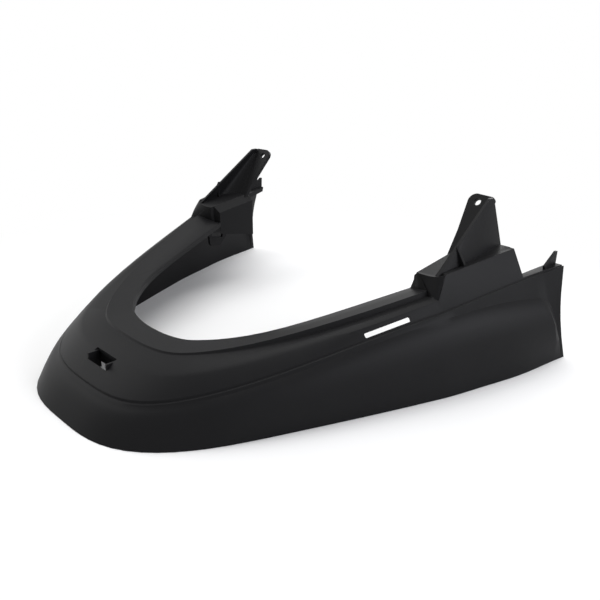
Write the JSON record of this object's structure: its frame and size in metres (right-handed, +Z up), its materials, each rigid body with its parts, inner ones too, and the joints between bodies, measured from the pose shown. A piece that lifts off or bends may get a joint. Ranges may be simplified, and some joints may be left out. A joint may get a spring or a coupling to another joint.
{
  "type": "motorcycle front mudguard",
  "caption": "U-shaped thin moulded mudguard shell with a stepped top, a sloping skirt, raised end housings and leaning bored ears.",
  "frame": {"origin": "middle of the overall box, on the plane of the lower skirt edge", "axes": "+Z up, -Y towards the nose, +Y towards the arm ends, X across; mirror plane at X = 0"},
  "size_m": [0.371, 0.3216, 0.1223],
  "materials": {
    "plastic": "satin black moulded plastic with a fine grain"
  },
  "bodies": {
    "root": {"mudguard": "plastic"}
  },
  "joints": []
}
